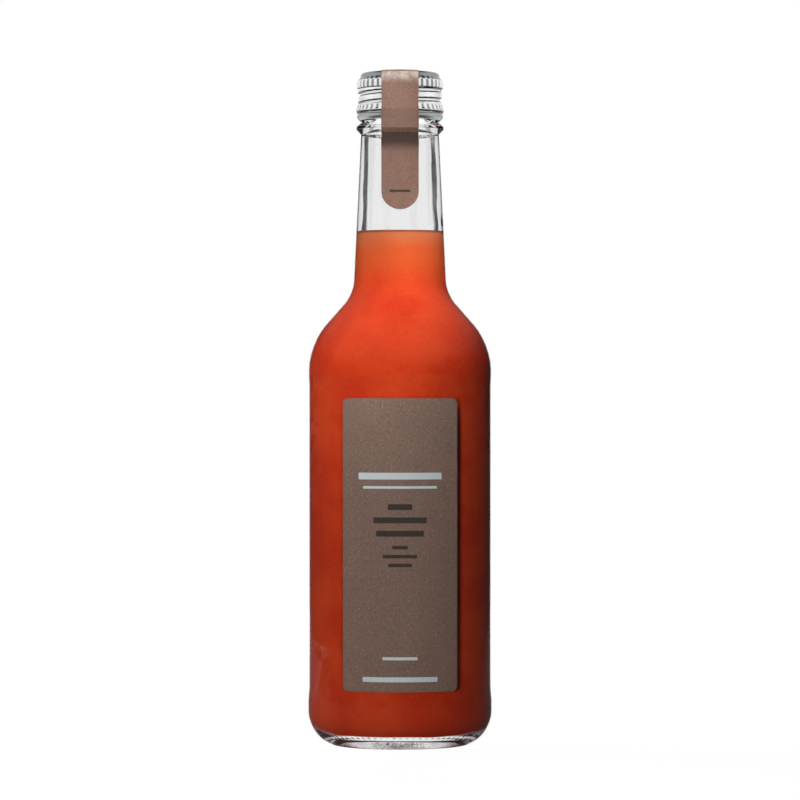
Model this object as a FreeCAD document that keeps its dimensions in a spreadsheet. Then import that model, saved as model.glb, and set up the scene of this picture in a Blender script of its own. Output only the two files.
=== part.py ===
import FreeCAD, Part
import math
import os
import re
import Sketcher

# A 330 ml glass juice bottle with an aluminium roll-on screw cap, a front label on the body and a
# paper seal strip over the cap. Everything is turned about +Z, the bottle stands on z = 0, and the
# label faces -Y. Sizes are in millimetres. Heights are rises, each counted from the form below it.

sizes = [
    # The glass body, from the base up.
    ("bodyDiameter", 60.2, "straight part that carries the label"),
    ("heelBead", 0.35, "how far the heel stands proud of the body"),
    ("shoulderBead", 0.15, "how far the shoulder stands proud of the body"),
    ("puntFlank", 6.3, "flank of the push-up, inside the ring it stands on"),
    ("puntRise", 3.4, "depth of the push-up"),
    ("puntRound", 8.0, "round between push-up and its flank"),
    ("standWidth", 4.5, "ring it stands on, up to the heel's slope"),
    ("standRound", 0.8, "round on that ring's inner edge"),
    ("heelFlatInset", 6.3, "from the body in to where the base would meet the heel's slope"),
    ("heelFlatRound", 8.0, "lower round of the heel"),
    ("heelRise", 5.4, "where the heel's slope would meet the bead"),
    ("heelRound", 11.4, "upper round of the heel"),
    ("heelBeadRise", 9.2, "height of the heel's bead"),
    ("heelFade", 4.2, "height over which the bead fades into the body"),
    ("bodyLength", 99.6, "straight part that carries the label"),
    ("shoulderFade", 3.2, "height over which the shoulder bead rises"),
    ("shoulderRise", 10.7, "from there to the shoulder's corner"),
    ("shoulderRound", 21.7, "large outer round of the shoulder"),
    ("slopeRise", 16.75, "slope from the shoulder to the neck"),
    ("neckTaper", 2.55, "how much further out the neck would meet the slope"),
    ("neckBaseRound", 11.7, "hollow round at the neck's foot"),
    ("neckLength", 52.55, "tapered neck up to the ring"),
    ("neckTopReach", 0.47, "how far the neck under the ring stands out from the finish"),
    # The ring under the cap and the finish that the cap screws on to.
    ("ringReach", 1.53, "how far the carrying ring stands out from the neck"),
    ("ringLowerRise", 1.35, "lower flank of the ring"),
    ("ringLand", 0.85, "straight edge of the ring"),
    ("ringUpperRise", 2.2, "upper flank of the ring"),
    ("ringRound", 0.38, "rounds on the ring's edge"),
    ("finishDiameter", 24.9, "plain wall of the finish between the threads"),
    ("finishLength", 15.75, "from the ring to the mouth"),
    ("lockBeadReach", 1.4, "how far the bead for the cap's tamper band stands out"),
    ("lockBeadStart", 0.6, "from the ring to the bead's lower flank"),
    ("lockBeadFlank", 1.2, "height of each flank of the bead"),
    ("lockBeadLand", 1.3, "straight edge of the bead"),
    ("mouthRound", 0.9, "round on the lip"),
    # The inside of the glass.
    ("bodyWall", 2.5, "wall of the body"),
    ("shoulderWallDrop", 1.0, "how far the inner shoulder lies below the outer"),
    ("floorFlank", 10.5, "fall of the inner floor, from its flat middle to its lowest ring"),
    ("floorThickness", 3.6, "glass over the push-up"),
    ("floorRound", 12.0, "round from the floor's middle to its edge"),
    ("floorEdgeInset", 5.1, "from the inner wall to the floor's lowest ring"),
    ("floorEdgeHeight", 3.9, "glass under that ring"),
    ("floorEdgeRound", 5.0, "lower round of the inner heel"),
    ("innerHeelRise", 4.3, "from the floor's edge to the inner heel's corner"),
    ("innerHeelRound", 7.0, "upper round of the inner heel"),
    ("neckBaseWall", 3.42, "wall of the neck at its foot"),
    ("neckTopWall", 2.42, "wall of the neck under the ring"),
    ("mouthWall", 3.45, "wall of the finish"),
    ("boreStep", 4.5, "height over which the neck narrows to that bore"),
    ("innerRound", 4.0, "rounds where the neck narrows"),
    # The juice.
    ("headspace", 53.15, "from the mouth down to the juice's level"),
    # The screw cap, rolled from thin sheet.
    ("capWall", 0.3, "sheet of the cap"),
    ("capFootGap", 0.2, "gap between the ring and the cap's foot"),
    ("rimClearance", 0.38, "gap between the finish and the cap's rim"),
    ("rimRound", 1.15, "round of the top edge"),
    ("rimDepth", 1.65, "from the top down to the knurled band"),
    ("knurlFlank", 0.9, "height of the band's upper flank"),
    ("knurlReach", 0.3, "how far the knurled band stands out from the skirt"),
    ("knurlBand", 2.0, "straight height of the knurled band"),
    ("threadRoom", 1.2, "gap between the finish and the skirt that holds the thread"),
    ("skirtStep", 0.5, "flanks that lead from the skirt to the bands"),
    ("tuckClearance", 0.65, "gap between the finish and the foot that is rolled in"),
    ("tuckRise", 1.7, "height of the rolled foot"),
    ("bandClearance", 0.15, "gap between the lock bead and the tamper band"),
    ("bandRise", 1.9, "height of the tamper band"),
    ("bridgeReach", 0.32, "how far the ribbed bead stands out from the tamper band"),
    ("bridgeBand", 1.5, "height of that bead"),
    ("ribCount", 40, "ribs round each ribbed band"),
    ("notchWidth", 0.9, "width of the notch between two ribs"),
    ("notchDepth", 0.34, "depth of those notches"),
    ("threadPitch", 3.18, "rise of the thread in one turn"),
    ("grooveRound", 1.1, "round section of the rolled thread"),
    ("grooveDepth", 0.72, "depth of the rolled thread"),
    # The label and the seal strip.
    ("labelWidth", 39.8, "width of the label round the body"),
    ("labelStart", 0.55, "from the body's foot to the label's lower edge"),
    ("labelEnd", 4.05, "from the label's upper edge to the body's top"),
    ("labelCorner", 1.8, "rounded corners of the label"),
    ("labelThickness", 0.1, "paper of the label"),
    ("stripWidth", 12.1, "width of the seal strip"),
    ("stripThickness", 0.12, "paper of the seal strip"),
    ("stripRound", 0.4, "bends of the strip over the cap's bands"),
    ("frontTail", 29.7, "from the ring down to the front end"),
    ("backTail", 24.0, "from the ring down to the back end"),
]

doc = FreeCAD.newDocument("JuiceBottle")
sheet = doc.addObject("Spreadsheet::Sheet", "Sizes")
for row, (name, value, note) in enumerate(sizes, start=1):
    sheet.set(f"A{row}", name)
    sheet.set(f"B{row}", str(value))
    sheet.set(f"C{row}", note)
    sheet.setAlias(f"B{row}", name)
doc.recompute()
aliases = {name for name, value, note in sizes}


# Formulas are written with bare size names, such as "bodyDiameter / 2 - bodyWall".
def bound(formula):
    def prefix(match):
        return "Sizes." + match.group() if match.group() in aliases else match.group()
    return re.sub(r"[A-Za-z]+", prefix, formula)


def valueOf(formula):
    return float(sheet.evalExpression(bound(formula)))


def bind(thing, prop, formula):
    thing.setExpression(prop, bound(formula))


def originPlane(body, role):
    return next(feature for feature in body.Origin.OriginFeatures if feature.Role == role)


def newBody(name):
    return doc.addObject("PartDesign::Body", name)


def newSketch(body, name, role="XZ_Plane"):
    sketch = body.newObject("Sketcher::SketchObject", name)
    sketch.AttachmentSupport = (originPlane(body, role), [""])
    sketch.MapMode = "FlatFace"
    return sketch


# Pins one coordinate of a sketch point to a formula, or to the axis where the formula is zero.
def pin(sketch, direction, geometry, position, formula):
    if formula == "0":
        axis = -2 if direction == "X" else -1
        sketch.addConstraint(Sketcher.Constraint("PointOnObject", geometry, position, axis))
        return
    kind = "Distance" + direction
    number = sketch.addConstraint(Sketcher.Constraint(kind, -1, 1, geometry, position, valueOf(formula)))
    bind(sketch, f"Constraints[{number}]", formula)


# Where a round of this radius leaves its two sides, and where its centre is.
def roundPoints(before, corner, after, radius):
    inward = (before - corner).normalize()
    outward = (after - corner).normalize()
    half = inward.getAngle(outward) / 2
    reach = radius / math.tan(half)
    centre = corner + (inward + outward).normalize() * (radius / math.sin(half))
    return corner + inward * reach, corner + outward * reach, centre


# Draws an outline through corners given as (across, up) or (across, up, round), all formulas.
def drawOutline(sketch, corners, closed=True):
    count = len(corners)
    points = [FreeCAD.Vector(valueOf(corner[0]), valueOf(corner[1]), 0) for corner in corners]
    starts = list(points)
    ends = list(points)
    centres = [None] * count
    for index, corner in enumerate(corners):
        if len(corner) == 3:
            before = points[index - 1]
            after = points[(index + 1) % count]
            found = roundPoints(before, points[index], after, valueOf(corner[2]))
            ends[index], starts[index], centres[index] = found
    sides = []
    for index in range(count if closed else count - 1):
        following = (index + 1) % count
        line = Part.LineSegment(starts[index], ends[following])
        sides.append(sketch.addGeometry(line, False))
    for index, corner in enumerate(corners):
        if not closed and index == count - 1:
            pin(sketch, "X", sides[-1], 2, corner[0])
            pin(sketch, "Y", sides[-1], 2, corner[1])
            continue
        if centres[index] is None:
            if closed or index > 0:
                joint = Sketcher.Constraint("Coincident", sides[index - 1], 2, sides[index], 1)
                sketch.addConstraint(joint)
            pin(sketch, "X", sides[index], 1, corner[0])
            pin(sketch, "Y", sides[index], 1, corner[1])
            continue
        drawRound(sketch, corner, sides[index - 1], sides[index], points[index],
                  ends[index], starts[index], centres[index])


# One round between two sides. Its construction point keeps the sharp corner where the sizes say.
def drawRound(sketch, corner, sideIn, sideOut, point, enter, leave, centre):
    first = math.atan2(enter.y - centre.y, enter.x - centre.x)
    last = math.atan2(leave.y - centre.y, leave.x - centre.x)
    turnsLeft = (enter - centre).cross(leave - centre).z > 0
    if not turnsLeft:
        first, last = last, first
    circle = Part.Circle(centre, FreeCAD.Vector(0, 0, 1), (enter - centre).Length)
    arc = sketch.addGeometry(Part.ArcOfCircle(circle, first, last), False)
    enterEnd, leaveEnd = (1, 2) if turnsLeft else (2, 1)
    sketch.addConstraint(Sketcher.Constraint("Tangent", sideIn, 2, arc, enterEnd))
    sketch.addConstraint(Sketcher.Constraint("Tangent", arc, leaveEnd, sideOut, 1))
    number = sketch.addConstraint(Sketcher.Constraint("Radius", arc, valueOf(corner[2])))
    bind(sketch, f"Constraints[{number}]", corner[2])
    mark = sketch.addGeometry(Part.Point(point), True)
    sketch.addConstraint(Sketcher.Constraint("PointOnObject", mark, 1, sideIn))
    sketch.addConstraint(Sketcher.Constraint("PointOnObject", mark, 1, sideOut))
    pin(sketch, "X", mark, 1, corner[0])
    pin(sketch, "Y", mark, 1, corner[1])


def drawCircle(sketch, across, up, radius):
    centre = FreeCAD.Vector(valueOf(across), valueOf(up), 0)
    circle = Part.Circle(centre, FreeCAD.Vector(0, 0, 1), valueOf(radius))
    geometry = sketch.addGeometry(circle, False)
    pin(sketch, "X", geometry, 3, across)
    pin(sketch, "Y", geometry, 3, up)
    number = sketch.addConstraint(Sketcher.Constraint("Radius", geometry, valueOf(radius)))
    bind(sketch, f"Constraints[{number}]", radius)


def revolve(body, name, corners, role="XZ_Plane"):
    sketch = newSketch(body, name + "Profile", role)
    drawOutline(sketch, corners)
    turned = body.newObject("PartDesign::Revolution", name)
    turned.Profile = sketch
    turned.ReferenceAxis = (sketch, ["V_Axis"])
    turned.Angle = 360
    return turned


# A helical feature about +Z that starts at its sketch, rises to the right and is as high as said.
def helix(body, kind, name, sketch, height):
    turned = body.newObject(kind, name)
    turned.Profile = sketch
    turned.ReferenceAxis = (sketch, ["V_Axis"])
    turned.Mode = "pitch-height-angle"
    bind(turned, "Pitch", "threadPitch")
    bind(turned, "Height", height)
    return turned


# Heights that several pieces share.
bodyFoot = "heelRise + heelBeadRise + heelFade"
bodyTop = f"{bodyFoot} + bodyLength"
shoulderCorner = f"{bodyTop} + shoulderFade + shoulderRise"
neckBase = f"{shoulderCorner} + slopeRise"
neckTop = f"{neckBase} + neckLength"
ringEdge = f"{neckTop} + ringLowerRise"
ringTop = f"{ringEdge} + ringLand + ringUpperRise"
mouthTop = f"{ringTop} + finishLength"
capTop = f"{mouthTop} + capWall"
capFoot = f"{ringTop} + capFootGap"
bridgeFoot = f"{capFoot} + tuckRise + bandRise"
skirtFoot = f"{bridgeFoot} + bridgeBand + skirtStep"
knurlFoot = f"{capTop} - rimDepth - knurlFlank - knurlBand"
skirtTop = f"{knurlFoot} - skirtStep"
threadHeight = f"{skirtTop} - ({skirtFoot}) - skirtStep"

# Radii that several pieces share. The body's follow bodyDiameter, and those of the neck, the ring
# and the cap follow finishDiameter, each through the wall, gap or reach between the two.
heelFlatRadius = "bodyDiameter / 2 - heelFlatInset"
standInnerRadius = f"{heelFlatRadius} - standWidth"
roomRadius = "bodyDiameter / 2 - bodyWall"
floorEdgeRadius = f"{roomRadius} - floorEdgeInset"
neckTopRadius = "finishDiameter / 2 + neckTopReach"
neckBaseRadius = f"{neckTopRadius} + neckTaper"
neckRadiusAtZero = f"{neckTopRadius} + ({neckTop}) * neckTaper / neckLength"
ringRadius = f"{neckTopRadius} + ringReach"
lockBeadRadius = "finishDiameter / 2 + lockBeadReach"
mouthBoreRadius = "finishDiameter / 2 - mouthWall"
rimRadius = "finishDiameter / 2 + rimClearance + capWall"
skirtRadius = "finishDiameter / 2 + threadRoom + capWall"
knurlRadius = f"{skirtRadius} + knurlReach"
tuckRadius = "finishDiameter / 2 + tuckClearance + capWall"
bandRadius = f"{lockBeadRadius} + bandClearance + capWall"
bridgeRadius = f"{bandRadius} + bridgeReach"


# The outside of the glass with its push-up, heel, shoulder, neck, ring and finish.
def makeBottleBlank():
    body = newBody("BottleBlank")
    lockBead = f"{ringTop} + lockBeadStart"
    lockLand = f"{lockBead} + lockBeadFlank"
    revolve(body, "Outside", [
        ("0", "puntRise"),
        (f"{standInnerRadius} - puntFlank", "puntRise", "puntRound"),
        (standInnerRadius, "0", "standRound"),
        (heelFlatRadius, "0", "heelFlatRound"),
        ("bodyDiameter / 2 + heelBead", "heelRise", "heelRound"),
        ("bodyDiameter / 2 + heelBead", "heelRise + heelBeadRise"),
        ("bodyDiameter / 2", bodyFoot),
        ("bodyDiameter / 2", bodyTop),
        ("bodyDiameter / 2 + shoulderBead", f"{bodyTop} + shoulderFade"),
        ("bodyDiameter / 2 + shoulderBead", shoulderCorner, "shoulderRound"),
        (neckBaseRadius, neckBase, "neckBaseRound"),
        (neckTopRadius, neckTop, "ringRound"),
        (ringRadius, ringEdge, "ringRound"),
        (ringRadius, f"{ringEdge} + ringLand", "ringRound"),
        ("finishDiameter / 2", ringTop),
        ("finishDiameter / 2", lockBead),
        (lockBeadRadius, lockLand),
        (lockBeadRadius, f"{lockLand} + lockBeadLand"),
        ("finishDiameter / 2", f"{lockLand} + lockBeadLand + lockBeadFlank"),
        ("finishDiameter / 2", mouthTop, "mouthRound"),
        ("0", mouthTop),
    ])
    return body


# The room inside the glass, from the floor to the mouth.
def makeBottleRoom():
    body = newBody("BottleRoom")
    revolve(body, "Inside", [
        ("0", "puntRise + floorThickness"),
        (f"{floorEdgeRadius} - floorFlank", "puntRise + floorThickness", "floorRound"),
        (floorEdgeRadius, "floorEdgeHeight", "floorEdgeRound"),
        (roomRadius, "floorEdgeHeight + innerHeelRise", "innerHeelRound"),
        (roomRadius, f"{shoulderCorner} - shoulderWallDrop", "shoulderRound - bodyWall"),
        (f"{neckBaseRadius} - neckBaseWall", f"{neckBase} - shoulderWallDrop",
         "neckBaseRound + bodyWall"),
        (f"{neckTopRadius} - neckTopWall", neckTop, "innerRound"),
        (mouthBoreRadius, f"{neckTop} + boreStep", "innerRound"),
        (mouthBoreRadius, mouthTop),
        ("0", mouthTop),
    ])
    return body


def makeBottle(blank, room):
    bottle = doc.addObject("Part::Cut", "GlassBottle")
    bottle.Label = "glass_bottle"
    bottle.Base = blank
    bottle.Tool = room
    return bottle


# The juice fills the room up to its level, so it follows the glass whatever the sizes are.
def makeJuice(room):
    below = doc.addObject("Part::Cylinder", "BelowLevel")
    bind(below, "Radius", "bodyDiameter / 2")
    bind(below, "Height", f"{mouthTop} - headspace")
    juice = doc.addObject("Part::Common", "TomatoJuice")
    juice.Label = "tomato_juice"
    juice.Base = room
    juice.Tool = below
    return juice


# The roll-on cap is one thin sheet. Its thread is pressed in from outside, so the same helix makes
# a ridge inside, which runs between the turns of the glass thread, and the groove outside.
def makeCap():
    body = newBody("ScrewCap")
    body.Label = "screw_cap"
    revolve(body, "Sheet", [
        ("0", capTop),
        (rimRadius, capTop, "rimRound"),
        (rimRadius, f"{capTop} - rimDepth"),
        (knurlRadius, f"{knurlFoot} + knurlBand"),
        (knurlRadius, knurlFoot),
        (skirtRadius, skirtTop),
        (skirtRadius, skirtFoot),
        (bridgeRadius, f"{bridgeFoot} + bridgeBand"),
        (bridgeRadius, f"{bridgeFoot} + skirtStep / 2"),
        (bandRadius, bridgeFoot),
        (bandRadius, f"{capFoot} + tuckRise"),
        (tuckRadius, capFoot),
        (f"{tuckRadius} - capWall", capFoot),
        (f"{bandRadius} - capWall", f"{capFoot} + tuckRise"),
        (f"{bandRadius} - capWall", bridgeFoot),
        (f"{skirtRadius} - capWall", f"{bridgeFoot} + skirtStep"),
        (f"{skirtRadius} - capWall", f"{knurlFoot} + knurlBand"),
        (f"{rimRadius} - capWall", f"{capTop} - rimDepth - capWall"),
        (f"{rimRadius} - capWall", mouthTop, "rimRound - capWall"),
        ("0", mouthTop),
    ])
    sectionCentre = f"{skirtRadius} + grooveRound - grooveDepth"
    ridge = newSketch(body, "RidgeSection")
    drawRidge(ridge, sectionCentre)
    helix(body, "PartDesign::AdditiveHelix", "RolledRidge", ridge, threadHeight)
    groove = newSketch(body, "GrooveSection")
    drawCircle(groove, f"-({sectionCentre})", skirtFoot, "grooveRound")
    helix(body, "PartDesign::SubtractiveHelix", "RolledGroove", groove, threadHeight)
    notches = [
        makeNotch(body, "KnurlNotch", knurlRadius, knurlFoot, "knurlBand"),
        makeNotch(body, "BridgeNotch", bridgeRadius, bridgeFoot, "bridgeBand"),
    ]
    ribs = body.newObject("PartDesign::PolarPattern", "Ribs")
    ribs.Originals = notches
    ribs.Axis = (originPlane(body, "Z_Axis"), [""])
    ribs.Angle = 360
    bind(ribs, "Occurrences", "ribCount")
    body.Tip = ribs
    return body


# The inner side of the rolled thread: a bulge of the groove's round plus the sheet, cut off
# within the sheet by an upright chord.
def drawRidge(sketch, sectionCentre):
    chord = f"-({skirtRadius} - capWall / 2)"
    bulge = "grooveRound + capWall"
    centre = FreeCAD.Vector(-valueOf(sectionCentre), valueOf(skirtFoot), 0)
    halfAngle = math.acos((valueOf(sectionCentre) + valueOf(chord)) / valueOf(bulge))
    circle = Part.Circle(centre, FreeCAD.Vector(0, 0, 1), valueOf(bulge))
    arc = Part.ArcOfCircle(circle, -halfAngle, halfAngle)
    side = Part.LineSegment(arc.EndPoint, arc.StartPoint)
    arcNumber = sketch.addGeometry(arc, False)
    sideNumber = sketch.addGeometry(side, False)
    sketch.addConstraint(Sketcher.Constraint("Coincident", arcNumber, 2, sideNumber, 1))
    sketch.addConstraint(Sketcher.Constraint("Coincident", sideNumber, 2, arcNumber, 1))
    sketch.addConstraint(Sketcher.Constraint("Vertical", sideNumber))
    number = sketch.addConstraint(Sketcher.Constraint("Radius", arcNumber, valueOf(bulge)))
    bind(sketch, f"Constraints[{number}]", bulge)
    pin(sketch, "X", arcNumber, 3, f"-({sectionCentre})")
    pin(sketch, "Y", arcNumber, 3, skirtFoot)
    pin(sketch, "X", sideNumber, 1, chord)


# One upright V notch between two ribs, cut into a band's crest.
def makeNotch(body, name, crest, foot, height):
    sketch = newSketch(body, name + "Section", "XY_Plane")
    bind(sketch, "AttachmentOffset.Base.z", foot)
    drawOutline(sketch, [
        (f"{crest} - notchDepth", "0"),
        (f"{crest} + notchDepth", "-notchWidth"),
        (f"{crest} + notchDepth", "notchWidth"),
    ])
    notch = body.newObject("PartDesign::Pocket", name)
    notch.Profile = sketch
    notch.Type = "Length"
    notch.Reversed = True
    bind(notch, "Length", height)
    return notch


# The label is a sector of a thin tube on the body, with its four corners rounded.
def makeLabel():
    body = newBody("FrontLabel")
    body.Label = "front_label"
    labelFoot = f"{bodyFoot} + labelStart"
    labelTop = f"{bodyTop} - labelEnd"
    sheetOfPaper = revolve(body, "Paper", [
        ("-bodyDiameter / 2", labelFoot),
        ("-bodyDiameter / 2", labelTop),
        ("-bodyDiameter / 2 - labelThickness", labelTop),
        ("-bodyDiameter / 2 - labelThickness", labelFoot),
    ], "YZ_Plane")
    sheetOfPaper.Midplane = True
    bind(sheetOfPaper, "Angle", "360 * labelWidth / (pi * bodyDiameter)")
    doc.recompute()
    cornerEdges = []
    for number, edge in enumerate(sheetOfPaper.Shape.Edges, start=1):
        flat = abs(edge.Vertexes[0].Z - edge.Vertexes[-1].Z) < 1e-6
        if flat and isinstance(edge.Curve, Part.Line):
            cornerEdges.append(f"Edge{number}")
    corners = body.newObject("PartDesign::Fillet", "Corners")
    corners.Base = (sheetOfPaper, cornerEdges)
    bind(corners, "Radius", "labelCorner")
    return body


# The seal strip: its line is drawn once, up the neck, over the ring and the cap's bands and across
# the top. The line is thickened, turned round the bottle and cut to a strip with round ends.
def makeStrip():
    line = doc.addObject("Sketcher::SketchObject", "StripLine")
    line.Placement = FreeCAD.Placement(FreeCAD.Vector(), FreeCAD.Rotation(FreeCAD.Vector(1, 0, 0), 90))
    tailFoot = f"{ringTop} - frontTail - stripWidth"
    drawOutline(line, [
        (f"{neckRadiusAtZero} - ({tailFoot}) * neckTaper / neckLength", tailFoot),
        (neckTopRadius, neckTop, "ringRound"),
        (ringRadius, ringEdge, "ringRound"),
        (bridgeRadius, f"{bridgeFoot} + bridgeBand", "stripRound"),
        (knurlRadius, f"{knurlFoot} + knurlBand", "stripRound"),
        (rimRadius, capTop, "rimRound"),
        ("0", capTop),
    ], closed=False)
    paper = doc.addObject("Part::Offset2D", "StripPaper")
    paper.Source = line
    paper.Mode = "Skin"
    paper.Fill = True
    paper.Join = "Intersection"
    bind(paper, "Value", "-stripThickness")
    around = doc.addObject("Part::Revolution", "StripAround")
    around.Source = paper
    around.Axis = (0, 0, 1)
    around.Angle = 360
    around.Solid = True
    both = doc.addObject("Part::Fuse", "StripSlot")
    both.Base = makeTail("FrontTail", "frontTail", -1)
    both.Tool = makeTail("BackTail", "backTail", 1)
    strip = doc.addObject("Part::Common", "SealStrip")
    strip.Label = "seal_strip"
    strip.Base = around
    strip.Tool = both
    return strip


# An upright slab with a round lower end, from the axis to one side: -1 is the front, 1 the back.
def makeTail(name, tail, side):
    sketch = doc.addObject("Sketcher::SketchObject", name + "Outline")
    sketch.Placement = FreeCAD.Placement(FreeCAD.Vector(), FreeCAD.Rotation(FreeCAD.Vector(1, 0, 0), 90))
    foot = f"{ringTop} - {tail}"
    top = f"{capTop} + stripWidth"
    drawOutline(sketch, [
        ("stripWidth / 2", top),
        ("-stripWidth / 2", top),
        ("-stripWidth / 2", foot, "stripWidth / 2 - 0.01"),
        ("stripWidth / 2", foot, "stripWidth / 2 - 0.01"),
    ])
    slab = doc.addObject("Part::Extrusion", name)
    slab.Base = sketch
    slab.DirMode = "Custom"
    slab.Dir = (0, side, 0)
    slab.Solid = True
    bind(slab, "LengthFwd", "bodyDiameter")
    return slab


def build():
    blank = makeBottleBlank()
    room = makeBottleRoom()
    nodes = [makeBottle(blank, room), makeJuice(room), makeCap(), makeLabel(), makeStrip()]
    doc.recompute()
    return nodes


def check(nodes):
    for thing in doc.Objects:
        if "Invalid" in thing.State or "Error" in thing.State:
            raise RuntimeError(f"{thing.Name} failed: {thing.State}")
    for node in nodes:
        shape = node.Shape
        if shape.isNull() or not shape.isValid() or len(shape.Solids) != 1:
            raise RuntimeError(f"{node.Label} is not one valid solid")


nodes = build()
check(nodes)
os.makedirs("parts", exist_ok=True)
for node in nodes:
    node.Shape.exportStep(f"parts/{node.Label}.step")
    print(f"{node.Label}: {node.Shape.Volume / 1000:.2f} ml")
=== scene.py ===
import bpy
import bmesh
import math
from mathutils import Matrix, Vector


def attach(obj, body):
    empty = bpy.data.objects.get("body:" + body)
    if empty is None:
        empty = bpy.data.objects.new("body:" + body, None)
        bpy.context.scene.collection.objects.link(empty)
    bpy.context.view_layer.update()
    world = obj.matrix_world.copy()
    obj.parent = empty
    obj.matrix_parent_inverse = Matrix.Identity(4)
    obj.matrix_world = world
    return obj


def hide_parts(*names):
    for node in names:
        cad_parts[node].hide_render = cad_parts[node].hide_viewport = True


# A clear bottle of tomato juice with a roll-on aluminium cap, a brown label and a paper seal strip.
# The bottle stands on z = 0 about the Z axis and its label faces -Y. Sizes are in millimetres.

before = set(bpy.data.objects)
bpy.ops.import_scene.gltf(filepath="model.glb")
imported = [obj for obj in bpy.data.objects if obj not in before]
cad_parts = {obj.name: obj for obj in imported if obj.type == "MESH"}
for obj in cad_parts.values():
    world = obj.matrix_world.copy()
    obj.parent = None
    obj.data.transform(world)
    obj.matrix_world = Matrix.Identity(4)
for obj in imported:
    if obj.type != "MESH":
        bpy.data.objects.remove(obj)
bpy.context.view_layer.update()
mm = 0.001
weld = 0.001 * mm  # vertices that are closer than this are merged
facetTurn = 7  # degrees of a round that one facet takes
print("frame loaded:", sorted(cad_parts))


def deselectAll():
    for thing in bpy.context.selected_objects:
        thing.select_set(False)


# One vertex to extrude from: a tiny plane merged at its centre.
def startLine(name, place):
    deselectAll()
    bpy.ops.mesh.primitive_plane_add(size=mm, location=place)
    piece = bpy.context.object
    piece.name = piece.data.name = name
    bpy.ops.object.transform_apply(location=True)
    bpy.ops.object.mode_set(mode="EDIT")
    bpy.ops.mesh.select_mode(type="VERT")
    bpy.ops.mesh.merge(type="CENTER")
    return piece


def pickVerts(piece, test):
    mesh = bmesh.from_edit_mesh(piece.data)
    for vert in mesh.verts:
        vert.select = bool(test(vert.co))
    mesh.select_flush_mode()
    bmesh.update_edit_mesh(piece.data)


# Draws a half section in the XZ plane as (radius, height) corners, each with an optional round.
def drawSection(name, corners):
    places = [Vector((corner[0] * mm, 0, corner[1] * mm)) for corner in corners]
    piece = startLine(name, places[0])
    for before, after in zip(places, places[1:]):
        bpy.ops.mesh.extrude_region_move(TRANSFORM_OT_translate={"value": after - before})
    for number in range(1, len(corners) - 1):
        if len(corners[number]) > 2 and corners[number][2] > 0:
            here = places[number]
            inside = (places[number - 1] - here).angle(places[number + 1] - here)
            pickVerts(piece, lambda place: (place - here).length < weld / 10)
            arc = math.pi - inside
            bpy.ops.mesh.bevel(
                offset=corners[number][2] * mm / math.tan(inside / 2), affect="VERTICES",
                segments=max(2, math.ceil(math.degrees(arc) / facetTurn)), profile=0.5)
    return piece


# Spins the section about the Z axis, from the azimuth that it stands at.
def turnSection(piece, steps, turn=360):
    bpy.ops.mesh.select_all(action="SELECT")
    bpy.ops.mesh.spin(steps=steps, angle=math.radians(turn), center=(0, 0, 0), axis=(0, 0, 1))
    bpy.ops.mesh.select_all(action="SELECT")
    bpy.ops.mesh.remove_doubles(threshold=weld)
    bpy.ops.mesh.normals_make_consistent(inside=False)


def finishPiece(piece, node, angle=35):
    bpy.ops.object.mode_set(mode="OBJECT")
    deselectAll()
    piece.select_set(True)
    bpy.context.view_layer.objects.active = piece
    bpy.ops.object.shade_smooth_by_angle(angle=math.radians(angle))
    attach(piece, "root")
    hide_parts(node)
    print(piece.name, "has", len(piece.data.polygons), "faces")


def radiusOf(place):
    return math.hypot(place.x, place.y) / mm


def turnOf(place):  # 0 at +X, counter-clockwise seen from above
    return math.degrees(math.atan2(place.y, place.x)) % 360


# Gives a paper sheet its thickness, outwards.
def thicken(sheet, thickness):
    paper = sheet.modifiers.new("paper", "SOLIDIFY")
    paper.thickness = thickness * mm
    paper.offset = 1
    bpy.ops.object.modifier_apply(modifier="paper")
    bpy.ops.object.mode_set(mode="EDIT")


# Scales picked vertices about the axis so that one at this radius moves in by the depth.
def pressIn(piece, radius, depth, test):
    pickVerts(piece, test)
    share = (radius - depth) / radius
    bpy.ops.transform.resize(value=(share, share, 1), center_override=(0, 0, 0))


glass = {
    "bodyRadius": 30.1, "heelBead": 0.35, "shoulderBead": 0.15, "wall": 2.5,
    "puntRadius": 13.0, "puntRise": 3.4, "puntRound": 8, "standInner": 19.3, "standRound": 0.8,
    "gripInner": 20.4, "gripOuter": 22.0, "heelFlat": 23.8, "heelFlatRound": 8, "heelRise": 5.4,
    "heelRound": 11.4, "heelBeadTop": 14.6, "bodyFoot": 18.8, "bodyMiddle": 70, "bodyTop": 118.4,
    "shoulderFade": 3.2, "shoulderCorner": 132.3, "shoulderRound": 21.7,
    "neckFoot": 149.05, "neckFootRadius": 15.47, "neckFootRound": 11.7,
    "neckTop": 201.6, "neckTopRadius": 12.92,
    "ringRadius": 14.45, "ringLow": 1.7, "ringHigh": 2.6, "ringRound": 0.38, "ringTop": 206.0,
    "finishRadius": 12.45, "lockBeadRadius": 13.85, "lockBeadRises": (0.6, 1.8, 3.1, 4.3),
    "mouth": 221.75, "mouthBore": 9.0, "mouthRound": 0.9,
    "boreTop": 10.5, "boreNarrows": 4.5, "boreRound": 4, "boreFoot": 12.05,
    "steps": 256, "gripCount": 64, "gripDepth": 0.3,
}

# The room inside the glass, which the juice fills. Its corners lie a drop below the outer ones.
room = {
    "floor": 7.0, "floorRadius": 12.0, "floorRound": 12, "edge": 3.9, "edgeRadius": 22.5, "edgeRound": 5,
    "heel": 8.2, "heelRound": 7, "drop": 1, "shoulderRound": 19.2, "neckRound": 14.2,
}


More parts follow.
